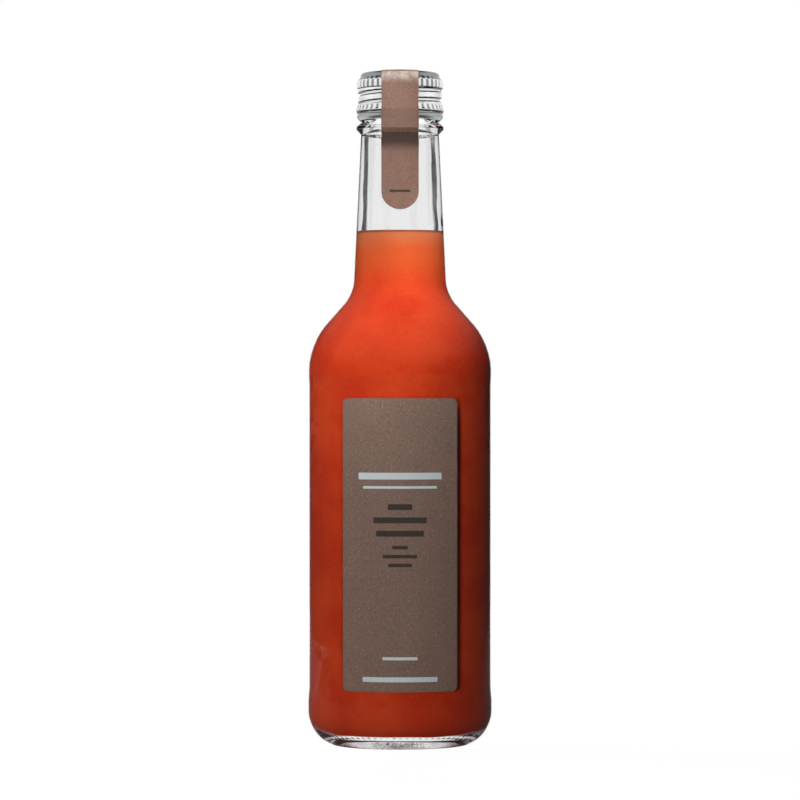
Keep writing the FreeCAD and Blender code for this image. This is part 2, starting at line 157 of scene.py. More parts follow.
def roomCorners(spare=0.0):
    side = glass["bodyRadius"] - glass["wall"] + spare
    return [
        (0, room["floor"] - spare),
        (room["floorRadius"], room["floor"] - spare, room["floorRound"]),
        (room["edgeRadius"], room["edge"] - spare, room["edgeRound"]),
        (side, room["heel"] - spare, room["heelRound"]),
        (side, glass["shoulderCorner"] - room["drop"], room["shoulderRound"]),
        (glass["boreFoot"] + spare, glass["neckFoot"] - room["drop"], room["neckRound"]),
    ]


def makeGlass():
    body, heel = glass["bodyRadius"], glass["bodyRadius"] + glass["heelBead"]
    shoulder = glass["bodyRadius"] + glass["shoulderBead"]
    ring, finish, lockBead = glass["ringRadius"], glass["finishRadius"], glass["lockBeadRadius"]
    neckTop, ringTop, mouth = glass["neckTop"], glass["ringTop"], glass["mouth"]
    beadFoot, beadLow, beadHigh, beadTop = (ringTop + rise for rise in glass["lockBeadRises"])
    outside = [
        (0, glass["puntRise"]), (glass["puntRadius"], glass["puntRise"], glass["puntRound"]),
        (glass["standInner"], 0, glass["standRound"]), (glass["gripInner"], 0), (glass["gripOuter"], 0),
        (glass["heelFlat"], 0, glass["heelFlatRound"]), (heel, glass["heelRise"], glass["heelRound"]),
        (heel, glass["heelBeadTop"]), (body, glass["bodyFoot"]), (body, glass["bodyMiddle"]),
        (body, glass["bodyTop"]), (shoulder, glass["bodyTop"] + glass["shoulderFade"]),
        (shoulder, glass["shoulderCorner"], glass["shoulderRound"]),
        (glass["neckFootRadius"], glass["neckFoot"], glass["neckFootRound"]),
        (glass["neckTopRadius"], neckTop, glass["ringRound"]),
        (ring, neckTop + glass["ringLow"], glass["ringRound"]),
        (ring, neckTop + glass["ringHigh"], glass["ringRound"]), (finish, ringTop),
        (finish, beadFoot), (lockBead, beadLow), (lockBead, beadHigh), (finish, beadTop),
        (finish, mouth, glass["mouthRound"]),
    ]
    inside = [
        (glass["mouthBore"], mouth, glass["mouthRound"]),
        (glass["mouthBore"], neckTop + glass["boreNarrows"], glass["boreRound"]),
        (glass["boreTop"], neckTop, glass["boreRound"]),
    ] + list(reversed(roomCorners()))
    bottle = drawSection("bottleGlass", outside + inside)
    turnSection(bottle, glass["steps"])
    perGrip = glass["steps"] // glass["gripCount"]  # the small grips on the ring that it stands on

    def onGrip(place):
        column = round(turnOf(place) / 360 * glass["steps"])
        onRing = glass["gripInner"] - 0.1 < radiusOf(place) < glass["gripOuter"] + 0.1
        return onRing and place.z < glass["gripDepth"] * mm and column % perGrip < perGrip // 2

    pickVerts(bottle, onGrip)
    bpy.ops.transform.translate(value=(0, 0, glass["gripDepth"] * mm))
    finishPiece(bottle, "glass_bottle")
    return bottle


juice = {
    "level": 168.6, "intoWall": 0.06, "climb": 1.0, "climbTop": 0.22, "climbFoot": 0.3, "climbRound": 0.9,
    "steps": 192,
}


def makeJuice():
    spare, level = juice["intoWall"], juice["level"]
    boreStart = glass["neckFoot"] - room["drop"]
    taper = (glass["boreFoot"] - glass["boreTop"]) / (glass["neckTop"] - boreStart)
    atLevel = glass["boreFoot"] + spare - taper * (level - boreStart)
    corners = roomCorners(spare) + [
        (atLevel - taper * juice["climb"], level + juice["climb"]),
        (atLevel - juice["climbTop"], level + juice["climb"]),
        (atLevel - juice["climbFoot"], level, juice["climbRound"]),
        (0, level),
    ]
    drink = drawSection("tomatoJuice", corners)
    turnSection(drink, juice["steps"])
    finishPiece(drink, "tomato_juice", angle=50)
    return drink


cap = {
    "foot": 206.2, "top": 222.05, "wall": 0.3, "topRings": (0, 6, 11.6),
    "rimRadius": 13.13, "rimRound": 1.15, "rimHeight": 1.65, "rimFootRound": 0.2,
    "knurlRadius": 14.25, "knurlFoot": 216.9, "knurlTop": 219.3,
    "skirtRadius": 13.95, "skirtFoot": 211.5, "skirtTop": 216.6, "skirtRows": 48,
    "bridgeRadius": 14.62, "bridgeFoot": 209.1, "bridgeTop": 211.4,
    "bandRadius": 14.3, "bandFoot": 207.3, "bandRound": 0.6, "tuckRadius": 13.4,
    # The bands' edges, as steps in from the crest and up from the edge's height.
    "knurlHead": ((0.25, 0.22), (0, -0.1)), "knurlHem": ((0, 0.1), (0.16, -0.14)),
    "bridgeHead": ((0.62, 0.12), (0.52, -0.05), (0.42, -0.35), (0.26, -0.95)),
    "bridgeHem": ((0.12, 0.75), (0, 0.3), (0.06, 0.1)),
    "bandHead": ((0.02, -0.08), (0.03, -0.2), (-0.08, -0.45), (-0.03, -0.7), (0, -0.85)),
    # Ribs and ticks, with the share of the depth that each column of a rib sinks by.
    "ribs": 40, "ribShape": (0, 0.12, 0.55, 0.95, 1, 0.95, 0.55, 0.12), "ribDepth": 0.48, "tickDepth": 0.28,
    "threadPitch": 3.18, "threadFoot": 211.19, "threadTurns": 1.62, "threadStart": 150, "threadFade": 0.07,
    "grooveRound": 0.82, "grooveDepth": 0.55, "slitDepth": 0.22, "tabs": 8, "tabColumns": 3,
}


# Corners at even heights on one radius.
def rows(radius, foot, top, count):
    return [(radius, foot + (top - foot) * number / count) for number in range(count + 1)]


# Corners at small steps in and up from one place.
def stepped(radius, height, steps):
    return [(radius - inset, height + rise) for inset, rise in steps]


def makeCap():
    knurl, bridge, skirt = cap["knurlRadius"], cap["bridgeRadius"], cap["skirtRadius"]
    band, rim, wall = cap["bandRadius"], cap["rimRadius"], cap["wall"]
    outside = [(radius, cap["top"]) for radius in cap["topRings"]]
    outside += [(rim, cap["top"], cap["rimRound"])]
    outside += [(rim, cap["top"] - cap["rimHeight"], cap["rimFootRound"])]
    outside += stepped(knurl, cap["knurlTop"], cap["knurlHead"])
    outside += rows(knurl, cap["knurlTop"] - 0.35, cap["knurlFoot"] + 0.35, 5)
    outside += stepped(knurl, cap["knurlFoot"], cap["knurlHem"])
    outside += rows(skirt, cap["skirtTop"], cap["skirtFoot"], cap["skirtRows"])
    outside += stepped(bridge, cap["bridgeTop"], cap["bridgeHead"])
    outside += stepped(bridge, cap["bridgeFoot"], cap["bridgeHem"])
    outside += stepped(band, cap["bridgeFoot"], cap["bandHead"])
    outside += [(band, cap["bandFoot"], cap["bandRound"]), (cap["tuckRadius"], cap["foot"])]
    inSkirt = skirt - wall - cap["grooveDepth"]
    inside = [
        (cap["tuckRadius"] - wall, cap["foot"]), (band - wall, cap["bandFoot"]),
        (band - wall, cap["bridgeFoot"] - 0.9), (inSkirt, cap["bridgeFoot"] - 0.1),
        (inSkirt, cap["knurlTop"]), (rim - wall, cap["top"] - cap["rimHeight"] - wall),
        (rim - wall, glass["mouth"], cap["rimRound"] - wall), (0, glass["mouth"]),
    ]
    perRib = len(cap["ribShape"])
    steps = cap["ribs"] * perRib
    piece = drawSection("screwCap", outside + inside)
    turnSection(piece, steps)

    def column(place):
        return round(turnOf(place) / 360 * steps)

    for number, share in enumerate(cap["ribShape"]):
        if share:
            pressIn(piece, knurl, cap["ribDepth"] * share, lambda place: (
                radiusOf(place) > knurl - 0.3 and cap["knurlFoot"] < place.z / mm < cap["knurlTop"] + 0.3
                and column(place) % perRib == number))
            pressIn(piece, bridge, cap["tickDepth"] * share, lambda place: (
                radiusOf(place) > bridge - 0.5
                and cap["bridgeFoot"] + 0.5 < place.z / mm < cap["bridgeTop"] - 0.3
                and column(place) % perRib == number))

    # The knurl's upper edge leans in.
    for height, lean in ((cap["knurlTop"] - 0.1, 0.14), (cap["knurlTop"] - 0.35, 0.07)):
        pressIn(piece, knurl, lean, lambda place: (
            radiusOf(place) > knurl - 0.6 and abs(place.z / mm - height) < 0.03))

    # The rolled thread rises to the right and fades in and out at its ends.
    reach = math.sqrt(cap["grooveRound"] ** 2 - (cap["grooveRound"] - cap["grooveDepth"]) ** 2)

    def threadDepth(place):
        onSkirt = cap["skirtFoot"] - 0.05 < place.z / mm < cap["skirtTop"] + 0.1
        if radiusOf(place) < skirt - 0.1 or not onSkirt:
            return 0
        deepest = 0
        for lap in (0, 1, 2):
            turned = ((turnOf(place) - cap["threadStart"]) % 360) / 360 + lap
            if turned > cap["threadTurns"]:
                continue
            away = place.z / mm - (cap["threadFoot"] + cap["threadPitch"] * turned)
            if abs(away) < reach:
                fade = min(1, turned / cap["threadFade"], (cap["threadTurns"] - turned) / cap["threadFade"])
                sunk = math.sqrt(cap["grooveRound"] ** 2 - away ** 2)
                sunk -= cap["grooveRound"] - cap["grooveDepth"]
                deepest = max(deepest, sunk * fade)
        return deepest

    # The slit under the ribbed bead leaves short tabs that hold the tamper band.
    perTab = steps // cap["tabs"]
    pressIn(piece, band, cap["slitDepth"], lambda place: (
        cap["bridgeFoot"] - 0.25 < place.z / mm < cap["bridgeFoot"] - 0.05
        and radiusOf(place) > band - 0.1 and column(place) % perTab >= cap["tabColumns"]))
    bpy.ops.object.mode_set(mode="OBJECT")
    rolled = piece.vertex_groups.new(name="rolledThread")
    for vert in piece.data.vertices:
        rolled.add([vert.index], threadDepth(vert.co) / cap["grooveDepth"], "REPLACE")
    roll = piece.modifiers.new("rolledThread", "DISPLACE")
    roll.vertex_group = "rolledThread"
    roll.mid_level = 0
    roll.strength = -cap["grooveDepth"] * mm
    bpy.ops.object.modifier_apply(modifier="rolledThread")
    piece.vertex_groups.clear()
    bpy.ops.object.mode_set(mode="EDIT")
    finishPiece(piece, "screw_cap", angle=40)
    return piece


label = {
    "width": 39.8, "height": 95, "foot": 19.35, "corner": 1.8, "thickness": 0.1, "gap": 0.01,
    "columns": 56, "cornerSteps": 8,
}


def makeLabel():
    deselectAll()
    middle = (label["foot"] + label["height"] / 2) * mm
    bpy.ops.mesh.primitive_plane_add(size=1, location=(0, 0, middle), rotation=(math.radians(90), 0, 0))
    piece = bpy.context.object
    piece.name = piece.data.name = "frontLabel"
    piece.scale = (label["width"] * mm, label["height"] * mm, 1)
    bpy.ops.object.transform_apply(location=True, rotation=True, scale=True)
    bpy.ops.object.mode_set(mode="EDIT")
    bpy.ops.mesh.select_mode(type="VERT")
    bpy.ops.mesh.select_all(action="SELECT")
    bpy.ops.mesh.bevel(offset=label["corner"] * mm, affect="VERTICES", segments=label["cornerSteps"])
    for number in range(1, label["columns"]):  # upright cuts, so that the sheet can bend
        bpy.ops.mesh.select_all(action="SELECT")
        across = label["width"] * (number / label["columns"] - 0.5) * mm
        bpy.ops.mesh.bisect(plane_co=(across, 0, 0), plane_no=(1, 0, 0))
    bpy.ops.object.mode_set(mode="OBJECT")
    radius = (glass["bodyRadius"] + label["gap"]) * mm
    bend = piece.modifiers.new("bend", "SIMPLE_DEFORM")
    bend.deform_method = "BEND"
    bend.deform_axis = "Z"
    bend.angle = label["width"] * mm / radius
    bpy.ops.object.modifier_apply(modifier="bend")
    piece.location = (0, -radius, 0)
    bpy.ops.object.transform_apply(location=True)
    thicken(piece, label["thickness"])
    finishPiece(piece, "front_label", angle=60)
    return piece


strip = {
    "width": 12.1, "thickness": 0.12, "gap": 0.015, "frontEnd": 176.3, "backEnd": 182.0,
    "overSkirt": 215.5, "steps": 180, "endCuts": 15,
}


# The paper's line from the foot of a tail up over the ring, the cap's bands and the rim to the axis.
def stripLine(foot):
    gap = strip["gap"]
    neckAt = glass["neckTopRadius"] + (glass["neckTop"] - foot) * (
        glass["neckFootRadius"] - glass["neckTopRadius"]) / (glass["neckTop"] - glass["neckFoot"])
    return [
        (neckAt + gap, foot),
        (glass["neckTopRadius"] + gap + 0.1, glass["neckTop"] - 2.2, 8),
        (glass["neckTopRadius"] + gap + 0.45, glass["neckTop"] + 0.35, 1.2),
        (glass["ringRadius"] + gap, glass["neckTop"] + 1.5, 0.4),
        (glass["ringRadius"] + gap + 0.03, glass["neckTop"] + 4),
        (cap["bridgeRadius"] + gap, cap["bridgeTop"], 0.4),
        (cap["knurlRadius"] + gap + 0.05, strip["overSkirt"]),
        (cap["knurlRadius"] + gap, cap["knurlTop"], 0.4),
        (cap["rimRadius"] + gap + 0.1, cap["top"] - 0.55, 0.8),
        (cap["rimRadius"] - 0.75, cap["top"] + gap, 0.8),
        (8, cap["top"] + gap), (4, cap["top"] + gap), (0, cap["top"] + gap),
    ]


# One half of the strip, turned from +X round the front (180) or round the back (-180). It starts 1 mm
# below its end, and planes then cut its sides and its round end.
def makeTail(name, end, turn):
    tail = drawSection(name, stripLine(end - 1))
    turnSection(tail, strip["steps"], turn)
    half = strip["width"] / 2
    for number in range(strip["endCuts"] + 1):
        angle = math.pi + math.pi * number / strip["endCuts"]
        outward = Vector((math.cos(angle), 0, math.sin(angle)))
        bpy.ops.mesh.select_all(action="SELECT")
        place = Vector((0, 0, (end + half) * mm)) + outward * half * mm
        bpy.ops.mesh.bisect(plane_co=place, plane_no=outward, clear_outer=True)
    bpy.ops.object.mode_set(mode="OBJECT")
    return tail


def makeStrip():
    front = makeTail("sealStrip", strip["frontEnd"], 180)
    back = makeTail("backTail", strip["backEnd"], -180)
    deselectAll()
    back.select_set(True)
    front.select_set(True)
    bpy.context.view_layer.objects.active = front
    bpy.ops.object.join()
    bpy.ops.object.mode_set(mode="EDIT")
    bpy.ops.mesh.select_all(action="SELECT")
    bpy.ops.mesh.remove_doubles(threshold=2 * weld)
    bpy.ops.mesh.normals_make_consistent(inside=False)
    bpy.ops.object.mode_set(mode="OBJECT")
    thicken(front, strip["thickness"])
    finishPiece(front, "seal_strip", angle=60)
    return front


bottlePiece = makeGlass()
juicePiece = makeJuice()
capPiece = makeCap()
labelPiece = makeLabel()
stripPiece = makeStrip()
print("pieces modelled")


def addNode(tree, kind, x, y, **settings):
    node = tree.nodes.new(kind)
    node.location = (x, y)
    for name, value in settings.items():
        setattr(node, name, value)
    return node


# Feeds a socket with another socket, or writes a plain value on it.
def feed(tree, socket, value):
    if isinstance(value, bpy.types.NodeSocket):
        tree.links.new(value, socket)
    else:
        socket.default_value = value


def calc(tree, x, y, operation, *values, clamp=False):
    node = addNode(tree, "ShaderNodeMath", x, y, operation=operation, use_clamp=clamp)
    for socket, value in zip(node.inputs, values):
        feed(tree, socket, value)
    return node.outputs[0]


def blendColour(tree, x, y, share, first, second, way="MIX"):
    node = addNode(tree, "ShaderNodeMix", x, y, data_type="RGBA", blend_type=way)
    feed(tree, node.inputs[0], share)
    feed(tree, node.inputs[6], first)
    feed(tree, node.inputs[7], second)
    return node.outputs[2]


# A smooth step from low to high as the value goes from start to end.
def ease(tree, x, y, value, start, end, low=0.0, high=1.0):
    node = addNode(tree, "ShaderNodeMapRange", x, y, interpolation_type="SMOOTHSTEP")
    for socket, given in zip(node.inputs, (value, start, end, low, high)):
        feed(tree, socket, given)
    return node.outputs[0]


# 1 between two values, fading to 0 over the soft width outside them.
def bandMask(tree, x, y, value, low, high, soft):
    return calc(tree, x + 40, y, "MULTIPLY", ease(tree, x, y + 20, value, low - soft, low),
                ease(tree, x, y - 20, value, high + soft, high))


def noise(tree, x, y, vector, scale, detail=2.0, roughness=0.5):
    node = addNode(tree, "ShaderNodeTexNoise", x, y)
    feed(tree, node.inputs["Vector"], vector)
    feed(tree, node.inputs["Scale"], scale)
    feed(tree, node.inputs["Detail"], detail)
    feed(tree, node.inputs["Roughness"], roughness)
    return node.outputs["Fac"]


# Object coordinates in millimetres, whole and as X, Y and Z.
def placeInMm(tree, x, y):
    place = addNode(tree, "ShaderNodeTexCoord", x, y)
    scaled = addNode(tree, "ShaderNodeVectorMath", x + 180, y, operation="SCALE")
    tree.links.new(place.outputs["Object"], scaled.inputs[0])
    scaled.inputs["Scale"].default_value = 1 / mm
    split = addNode(tree, "ShaderNodeSeparateXYZ", x + 360, y)
    tree.links.new(scaled.outputs[0], split.inputs[0])
    return scaled.outputs[0], split.outputs


def newGroup(name, inputs, outputs):
    tree = bpy.data.node_groups.new(name, "ShaderNodeTree")
    for title, kind in inputs:
        tree.interface.new_socket(title, in_out="INPUT", socket_type="NodeSocket" + kind)
    for title, kind in outputs:
        tree.interface.new_socket(title, in_out="OUTPUT", socket_type="NodeSocket" + kind)
    return tree, addNode(tree, "NodeGroupInput", -900, 0), addNode(tree, "NodeGroupOutput", 900, 0)


def placeGroup(tree, group, x, y, **values):
    node = addNode(tree, "ShaderNodeGroup", x, y, node_tree=group)
    for name, value in values.items():
        feed(tree, node.inputs[name], value)
    return node


def newMaterial(name):
    material = bpy.data.materials.new(name)
    material.use_nodes = True
    tree = material.node_tree
    surface = tree.nodes["Principled BSDF"]
    surface.location = (500, 0)
    tree.nodes["Material Output"].location = (1100, 0)
    return material, tree, surface


def bump(tree, x, y, height, distance):
    node = addNode(tree, "ShaderNodeBump", x, y)
    node.inputs["Strength"].default_value = 1.0
    node.inputs["Distance"].default_value = distance
    tree.links.new(height, node.inputs["Height"])
    return node.outputs[0]


def mixShaders(tree, x, y, share, first, second):
    node = addNode(tree, "ShaderNodeMixShader", x, y)
    for socket, given in zip(node.inputs, (share, first.outputs[0], second.outputs[0])):
        tree.links.new(given, socket)
    return node


def showShader(tree, shader):
    tree.links.new(shader.outputs[0], tree.nodes["Material Output"].inputs["Surface"])


def dress(piece, material):
    piece.data.materials.clear()
    piece.data.materials.append(material)


# Broad soft patches, for slight changes of tone on the cap and for the patchy painted highlight on the
# strip's fold.
def makePatches():
    tree, given, out = newGroup("softPatches", [("Place", "Vector"), ("Size", "Float"),
                                                ("Low", "Float"), ("High", "Float")],
                                [("Value", "Float")])
    scale = calc(tree, -600, -100, "DIVIDE", 1.0, given.outputs["Size"])
    cloud = noise(tree, -400, 0, given.outputs["Place"], scale, 3.0, 0.55)
    value = ease(tree, -100, 0, cloud, 0.35, 0.65, given.outputs["Low"], given.outputs["High"])
    tree.links.new(value, out.inputs["Value"])
    return tree


# Brown coated paper with a fine bright fleck and a cloudy tone.
def makePaper():
    tree, given, out = newGroup("fleckedPaper", [("Place", "Vector"), ("Paper", "Color"),
                                                 ("Fleck", "Color"), ("Cloud", "Color"),
                                                 ("FleckSize", "Float")],
                                [("Color", "Color"), ("Height", "Float"), ("Roughness", "Float")])
    scale = calc(tree, -700, 200, "DIVIDE", 1.0, given.outputs["FleckSize"])
    grain = noise(tree, -500, 250, given.outputs["Place"], scale, 2.0, 0.6)
    coarse = calc(tree, -600, 50, "MULTIPLY", scale, 0.37)
    grit = noise(tree, -500, 50, given.outputs["Place"], coarse, 2.0, 0.6)
    bright = ease(tree, -250, 250, grain, 0.55, 0.72)
    dark = ease(tree, -250, 50, grit, 0.5, 0.32, 0.0, 0.45)
    cloud = noise(tree, -500, -150, given.outputs["Place"], 0.11, 3.0, 0.6)
    cloudy = ease(tree, -250, -150, cloud, 0.35, 0.7, 0.0, 0.8)
    colour = blendColour(tree, 0, 100, cloudy, given.outputs["Paper"], given.outputs["Cloud"])
    colour = blendColour(tree, 200, 100, bright, colour, given.outputs["Fleck"])
    darker = blendColour(tree, 300, -100, 1.0, colour, (0.72, 0.7, 0.7, 1), "MULTIPLY")
    colour = blendColour(tree, 500, 100, dark, colour, darker)
    tree.links.new(colour, out.inputs["Color"])
    tree.links.new(calc(tree, 0, -250, "ADD", grain, grit), out.inputs["Height"])
    tree.links.new(ease(tree, 200, -350, grain, 0.3, 0.7, 0.62, 0.42), out.inputs["Roughness"])
    return tree


# A printed bar as a mask. Its corners are round by this share of half its height.
barRound = 0.45


def makeBar():
    tree, given, out = newGroup("printedBar", [("Across", "Float"), ("Up", "Float"), ("Middle", "Float"),
                                               ("Height", "Float"), ("HalfWidth", "Float"),
                                               ("HalfHeight", "Float")], [("Mask", "Float")])
    corner = calc(tree, -850, -300, "MULTIPLY", given.outputs["HalfHeight"], barRound)
    sides = []
    for row, (value, middle, half) in enumerate((("Across", "Middle", "HalfWidth"),
                                                 ("Up", "Height", "HalfHeight"))):
        away = calc(tree, -700, -200 * row, "SUBTRACT", given.outputs[value], given.outputs[middle])
        away = calc(tree, -550, -200 * row, "ABSOLUTE", away)
        core = calc(tree, -700, -200 * row - 100, "SUBTRACT", given.outputs[half], corner)
        away = calc(tree, -400, -200 * row, "SUBTRACT", away, core)
        sides.append(calc(tree, -250, -200 * row, "MAXIMUM", away, 0.0))
    length = calc(tree, -100, 0, "SQRT", calc(tree, -100, -200, "ADD",
                  calc(tree, -200, -100, "POWER", sides[0], 2.0),
                  calc(tree, -200, -300, "POWER", sides[1], 2.0)))
    beyond = calc(tree, 100, 0, "SUBTRACT", length, corner)
    tree.links.new(ease(tree, 300, 0, beyond, 0.06, -0.06), out.inputs["Mask"])
    return tree


softPatches = makePatches()
fleckedPaper = makePaper()
printedBar = makeBar()


glassLook = {
    "edge": (0.12, 0.13, 0.13, 1), "edgeFrom": 0.66, "edgeFull": 0.8,
    "outlineFrom": 0.80, "outlineFull": 0.95, "outlineShare": 0.9,
    "ior": 1.5, "waveSize": 14.0, "waveDepth": 0.48 * mm,
}


def glassMaterial():
    material, tree, surface = newMaterial("clearBottleGlass")
    place, along = placeInMm(tree, -900, 0)
    # Seen along its surface the empty neck is painted darker, a painted shade for the dark edges of clear
    # glass; the long way through its wall takes up a little light too.
    slant = addNode(tree, "ShaderNodeLayerWeight", -300, 300)
    inNeck = bandMask(tree, -200, 500, along["Z"], juice["level"], glass["neckTop"] - 0.5, 0.8)
    edge = ease(tree, -200, 300, slant.outputs["Facing"], glassLook["edgeFrom"], glassLook["edgeFull"])
    edge = calc(tree, 0, 400, "MULTIPLY", edge, inNeck)
    tree.links.new(blendColour(tree, 100, 300, edge, (1, 1, 1, 1), glassLook["edge"]),
                   surface.inputs["Base Color"])
    surface.inputs["Transmission Weight"].default_value = 1.0
    surface.inputs["IOR"].default_value = glassLook["ior"]
    surface.inputs["Roughness"].default_value = 0.0
    waves = noise(tree, -300, -300, place, 1 / glassLook["waveSize"], 1.0)
    tree.links.new(bump(tree, 100, -300, waves, glassLook["waveDepth"]), surface.inputs["Normal"])
    # Lamps and the studio light the juice straight through the glass. At the flattest angles the eye
    # looks straight through too, where a plain room would leave a black outline.
    clear = addNode(tree, "ShaderNodeBsdfTransparent", 500, -500)
    path = addNode(tree, "ShaderNodeLightPath", 500, 400)
    shaded = mixShaders(tree, 750, 0, path.outputs["Is Shadow Ray"], surface, clear)
    flattest = ease(tree, 500, 600, slant.outputs["Facing"], glassLook["outlineFrom"],
                    glassLook["outlineFull"], 0.0, glassLook["outlineShare"])
    straight = calc(tree, 700, 600, "MAXIMUM", path.outputs["Is Diffuse Ray"], flattest)
    showShader(tree, mixShaders(tree, 920, 0, straight, shaded, clear))
    return material


juiceLook = {
    "red": (0.78, 0.064, 0.015, 1), "deep": (0.68, 0.040, 0.010, 1), "pale": (0.68, 0.175, 0.068, 1),
    "orange": (0.72, 0.105, 0.026, 1), "pulp": (0.95, 0.33, 0.10, 1), "line": (0.34, 0.10, 0.055, 1),
    "silver": (0.95, 0.95, 0.95, 1), "silverFrom": 0.34, "silverFull": 0.39, "silverUpTo": 9.5,
    "silverBelow": 8.0, "driftScale": 0.06, "driftReach": 7.0, "cloudScale": 0.045, "pulpScale": 1.4,
    "pulpDepth": 0.04 * mm,
}


def juiceMaterial():
    material, tree, surface = newMaterial("tomatoJuiceRed")
    place, along = placeInMm(tree, -1300, 0)
    drift = noise(tree, -900, -100, place, juiceLook["driftScale"], 2.0, 0.5)
    height = calc(tree, -700, 200, "MULTIPLY_ADD", drift, juiceLook["driftReach"], along["Z"])
    height = calc(tree, -600, 200, "SUBTRACT", height, juiceLook["driftReach"] / 2)
    # Paler and more orange towards its level: painted light from above shining into the juice, and a little
    # settled pulp.
    level = juice["level"]
    orange = ease(tree, -400, 300, height, level - 20, level - 6)
    pale = ease(tree, -400, 100, height, level - 7, level - 0.5)
    cloud = noise(tree, -700, -300, place, juiceLook["cloudScale"], 3.0, 0.55)
    colour = blendColour(tree, -200, 0, ease(tree, -400, -300, cloud, 0.4, 0.65), juiceLook["red"],
                         juiceLook["deep"])
    colour = blendColour(tree, 0, 0, orange, colour, juiceLook["orange"])
    colour = blendColour(tree, 150, 0, pale, colour, juiceLook["pale"])
    pulp = noise(tree, -700, -500, place, juiceLook["pulpScale"], 3.0, 0.65)
    colour = blendColour(tree, 300, 0, ease(tree, -400, -500, pulp, 0.45, 0.75, 0.0, 0.10), colour,
                         juiceLook["pulp"])
    # A thin darker line where the juice climbs the glass, painted shade at the meniscus.
    line = ease(tree, 300, 300, along["Z"], level + 0.1, level + 0.5)
    colour = blendColour(tree, 450, 200, line, colour, juiceLook["line"])
    # Its foot is met at a flat angle through thick glass, which mirrors there, so it looks silver.
    slant = addNode(tree, "ShaderNodeLayerWeight", -200, -700)
    flat = ease(tree, 0, -700, slant.outputs["Facing"], juiceLook["silverFrom"], juiceLook["silverFull"])
    atFoot = ease(tree, 0, -900, along["Z"], juiceLook["silverUpTo"], juiceLook["silverBelow"])
    mirror = calc(tree, 200, -700, "MULTIPLY", flat, atFoot)
    colour = blendColour(tree, 600, 0, mirror, colour, juiceLook["silver"])
    tree.links.new(mirror, surface.inputs["Metallic"])
    tree.links.new(colour, surface.inputs["Base Color"])
    tree.links.new(ease(tree, 400, -600, mirror, 0.0, 1.0, 0.4, 0.02), surface.inputs["Roughness"])
    surface.inputs["Specular IOR Level"].default_value = 0.02
    tree.links.new(bump(tree, 300, -300, pulp, juiceLook["pulpDepth"]), surface.inputs["Normal"])
    return material


capLook = {
    "bright": (0.92, 0.93, 0.93, 1), "dull": (0.72, 0.74, 0.74, 1), "shade": (0.06, 0.062, 0.064, 1),
    "rim": (0.26, 0.28, 0.275, 1), "onRim": 0.95, "onBand": 0.72,
    "inKnurl": 0.75, "inBead": 0.65, "inSlits": 1.0, "lineSize": 0.24, "lineDepth": 0.006 * mm,
}


